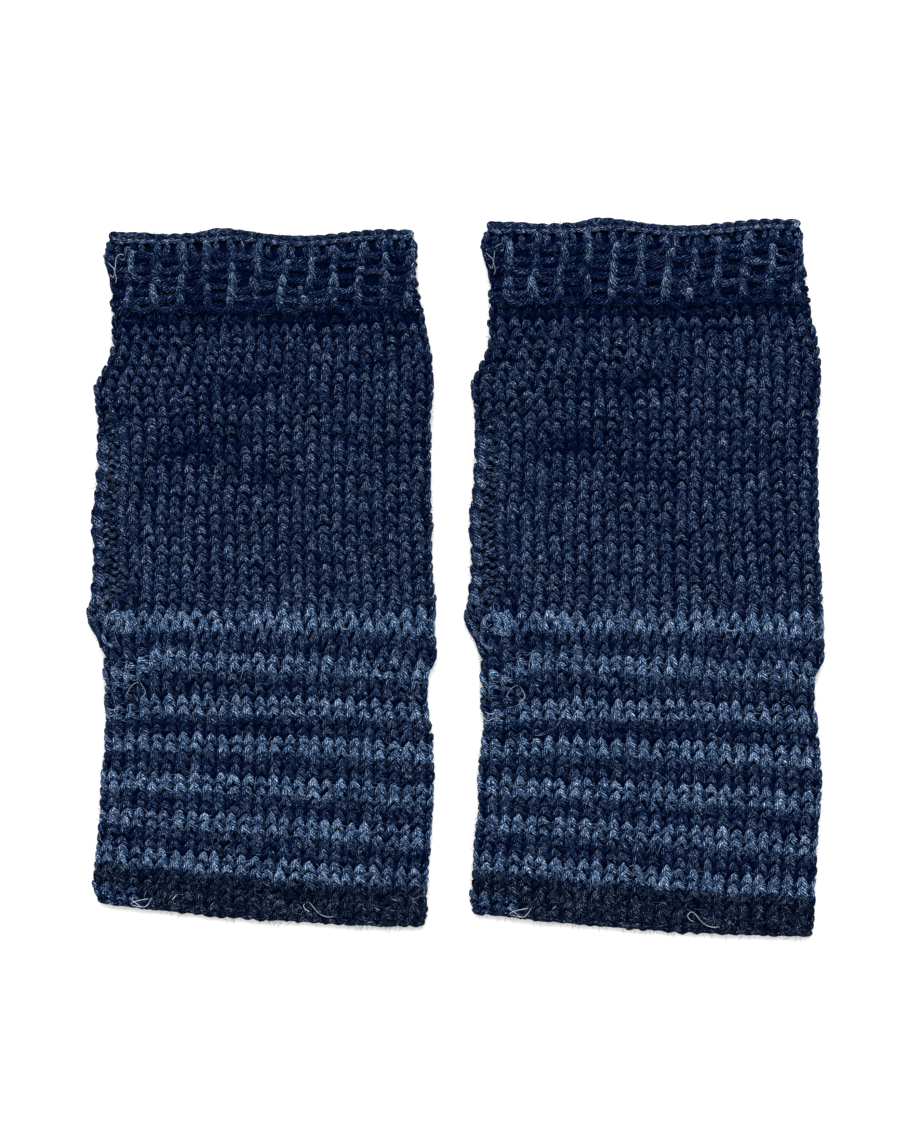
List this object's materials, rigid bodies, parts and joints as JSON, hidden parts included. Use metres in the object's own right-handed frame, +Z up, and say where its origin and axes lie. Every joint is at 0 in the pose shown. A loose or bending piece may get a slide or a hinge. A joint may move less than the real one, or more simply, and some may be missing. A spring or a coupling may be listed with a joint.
{
  "type": "pair of hand warmers",
  "caption": "Pair of fingerless knitted hand warmers laid flat: ribbed finger end, plain hand with an open thumb slit in the side seam, striped wrist.",
  "frame": {"origin": "middle of the pair's box, on the surface that the pair lies on", "axes": "+X runs across the pair, from the left hand warmer to the right one as seen from above with the fingers up; +Y runs along them towards the finger openings; +Z points up from the surface, out of the front layers"},
  "size_m": [0.2284, 0.2224, 0.0066],
  "materials": {
    "navy_wool": "matt, slightly hairy navy wool",
    "striped_wool": "two-row stripes of navy and marled denim-blue wool"
  },
  "bodies": {
    "root": {"left_rib_cuff": "navy_wool", "left_bind_off": "navy_wool", "left_hand": "navy_wool", "left_thumb_edge": "navy_wool", "left_wrist": "striped_wool", "left_hem": "striped_wool", "right_rib_cuff": "navy_wool", "right_bind_off": "navy_wool", "right_hand": "navy_wool", "right_thumb_edge": "navy_wool", "right_wrist": "striped_wool", "right_hem": "striped_wool"}
  },
  "joints": []
}
